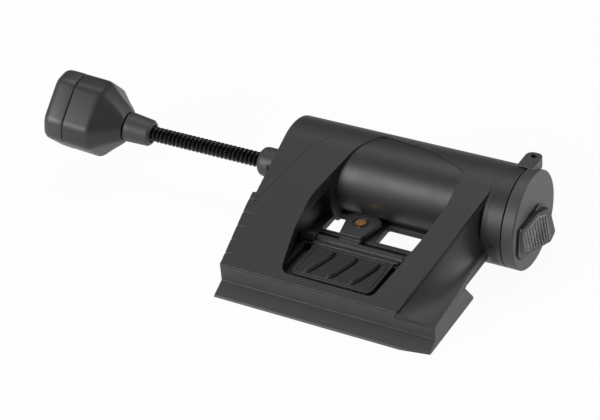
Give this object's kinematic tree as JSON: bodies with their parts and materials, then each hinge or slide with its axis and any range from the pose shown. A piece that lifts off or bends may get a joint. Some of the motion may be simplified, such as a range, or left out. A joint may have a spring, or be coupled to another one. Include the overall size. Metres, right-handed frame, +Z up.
{
  "type": "rail mounted task light",
  "caption": "One-cell task light in a sloped bridge frame with a rail foot, push latch, rotary dimmer and a lamp head on a bendable coiled arm.",
  "frame": {"origin": "centre of the underside of the rail foot", "axes": "+Z up out of the rail, +X along the battery tube toward its cap, +Y from the foot toward the tube"},
  "size_m": [0.1322, 0.054, 0.0273],
  "materials": {
    "frame_plastic": "fine moulded grain",
    "foot_plastic": "fine moulded grain",
    "tube_plastic": "smooth moulded",
    "gland_plastic": "smooth moulded",
    "latch_plastic": "moulded",
    "tab_plastic": "moulded",
    "cap_plastic": "fine moulded grain",
    "knob_plastic": "moulded",
    "head_plastic": "satin moulded",
    "bezel_plastic": "satin moulded",
    "pot_body": "moulded",
    "circuit_board": "solder mask",
    "led_board": "white solder mask",
    "led_chip": "phosphor",
    "cell_sleeve": "printed film left plain",
    "pad_rubber": "ribbed",
    "seal_rubber": "matte",
    "lens_glass": "clear",
    "reflector_metal": "bright",
    "brass": "turned",
    "nickel": "plated",
    "spring_steel": "drawn wire",
    "pin_steel": "ground",
    "screw_steel": "zinc plated",
    "arm_steel": "dark coated wire",
    "heat_slug": "turned"
  },
  "bodies": {
    "frame": {"bridge_frame": "frame_plastic", "rail_foot": "foot_plastic", "foot_screws": "screw_steel", "battery_tube": "tube_plastic", "cell_can": "cell_sleeve", "cell_button": "nickel", "cell_spring": "spring_steel", "rear_contact": "brass", "arm_gland": "gland_plastic", "gland_washer": "seal_rubber", "pivot_pin": "pin_steel", "latch_spring": "spring_steel"},
    "latch": {"latch_lever": "latch_plastic", "latch_tab": "tab_plastic", "lock_pin": "brass"},
    "cap": {"battery_cap": "cap_plastic", "cap_oring": "seal_rubber", "cap_contact": "brass", "cap_board": "circuit_board", "dimmer_pot": "pot_body"},
    "knob": {"knob_shaft": "pin_steel", "knob_bar": "knob_plastic", "knob_pad": "pad_rubber"},
    "link_01": {"arm_01": "arm_steel"},
    "link_02": {"arm_02": "arm_steel"},
    "link_03": {"arm_03": "arm_steel"},
    "link_04": {"arm_04": "arm_steel"},
    "link_05": {"arm_05": "arm_steel"},
    "link_06": {"arm_06": "arm_steel"},
    "link_07": {"arm_07": "arm_steel"},
    "link_08": {"arm_08": "arm_steel"},
    "link_09": {"arm_09": "arm_steel"},
    "link_10": {"arm_10": "arm_steel"},
    "link_11": {"arm_11": "arm_steel"},
    "link_12": {"arm_12": "arm_steel"},
    "link_13": {"arm_13": "arm_steel"},
    "link_14": {"arm_14": "arm_steel", "head_neck": "gland_plastic", "head_shell": "head_plastic", "head_bezel": "bezel_plastic", "head_lens": "lens_glass", "lens_gasket": "seal_rubber", "reflector": "reflector_metal", "led_board": "led_board", "led_chip": "led_chip", "heat_slug": "heat_slug"}
  },
  "joints": [
    {"name": "latch_press", "type": "hinge", "parent": "frame", "child": "latch", "pos_m": [0, 0.0101, 0.00695], "axis": [1, 0, 0], "range_deg": [0, 8], "stiffness_Nm_per_rad": 0.12, "springref_deg": -6.88, "deforming": ["latch_spring"]},
    {"name": "cap_twist", "type": "hinge", "parent": "frame", "child": "cap", "pos_m": [0.0347, 0.0302, 0.012], "axis": [1, 0, 0], "range_deg": [0, 45]},
    {"name": "dimmer_turn", "type": "hinge", "parent": "cap", "child": "knob", "pos_m": [0.0347, 0.0302, 0.012], "axis": [1, 0, 0], "range_deg": [-100, 0]},
    {"name": "sway_01", "type": "hinge", "parent": "frame", "child": "link_01", "pos_m": [-0.0353, 0.0262, 0.0132], "axis": [0, 0, 1], "range_deg": [-10, 10]},
    {"name": "nod_02", "type": "hinge", "parent": "link_01", "child": "link_02", "pos_m": [-0.03766, 0.0262, 0.0132], "axis": [0, 1, 0], "range_deg": [-10, 10]},
    {"name": "sway_03", "type": "hinge", "parent": "link_02", "child": "link_03", "pos_m": [-0.04003, 0.0262, 0.0132], "axis": [0, 0, 1], "range_deg": [-10, 10]},
    {"name": "nod_04", "type": "hinge", "parent": "link_03", "child": "link_04", "pos_m": [-0.04239, 0.0262, 0.0132], "axis": [0, 1, 0], "range_deg": [-10, 10]},
    {"name": "sway_05", "type": "hinge", "parent": "link_04", "child": "link_05", "pos_m": [-0.04476, 0.0262, 0.0132], "axis": [0, 0, 1], "range_deg": [-10, 10]},
    {"name": "nod_06", "type": "hinge", "parent": "link_05", "child": "link_06", "pos_m": [-0.04712, 0.0262, 0.0132], "axis": [0, 1, 0], "range_deg": [-10, 10]},
    {"name": "sway_07", "type": "hinge", "parent": "link_06", "child": "link_07", "pos_m": [-0.04949, 0.0262, 0.0132], "axis": [0, 0, 1], "range_deg": [-10, 10]},
    {"name": "nod_08", "type": "hinge", "parent": "link_07", "child": "link_08", "pos_m": [-0.05185, 0.0262, 0.0132], "axis": [0, 1, 0], "range_deg": [-10, 10]},
    {"name": "sway_09", "type": "hinge", "parent": "link_08", "child": "link_09", "pos_m": [-0.05421, 0.0262, 0.0132], "axis": [0, 0, 1], "range_deg": [-10, 10]},
    {"name": "nod_10", "type": "hinge", "parent": "link_09", "child": "link_10", "pos_m": [-0.05658, 0.0262, 0.0132], "axis": [0, 1, 0], "range_deg": [-10, 10]},
    {"name": "sway_11", "type": "hinge", "parent": "link_10", "child": "link_11", "pos_m": [-0.05894, 0.0262, 0.0132], "axis": [0, 0, 1], "range_deg": [-10, 10]},
    {"name": "nod_12", "type": "hinge", "parent": "link_11", "child": "link_12", "pos_m": [-0.06131, 0.0262, 0.0132], "axis": [0, 1, 0], "range_deg": [-10, 10]},
    {"name": "sway_13", "type": "hinge", "parent": "link_12", "child": "link_13", "pos_m": [-0.06367, 0.0262, 0.0132], "axis": [0, 0, 1], "range_deg": [-10, 10]},
    {"name": "nod_14", "type": "hinge", "parent": "link_13", "child": "link_14", "pos_m": [-0.06604, 0.0262, 0.0132], "axis": [0, 1, 0], "range_deg": [-10, 10]}
  ],
  "couplings": [
    {"joint": "sway_03", "follows": "sway_01", "ratio": 1},
    {"joint": "nod_04", "follows": "nod_02", "ratio": 1},
    {"joint": "sway_05", "follows": "sway_01", "ratio": 1},
    {"joint": "nod_06", "follows": "nod_02", "ratio": 1},
    {"joint": "sway_07", "follows": "sway_01", "ratio": 1},
    {"joint": "nod_08", "follows": "nod_02", "ratio": 1},
    {"joint": "sway_09", "follows": "sway_01", "ratio": 1},
    {"joint": "nod_10", "follows": "nod_02", "ratio": 1},
    {"joint": "sway_11", "follows": "sway_01", "ratio": 1},
    {"joint": "nod_12", "follows": "nod_02", "ratio": 1},
    {"joint": "sway_13", "follows": "sway_01", "ratio": 1},
    {"joint": "nod_14", "follows": "nod_02", "ratio": 1}
  ]
}
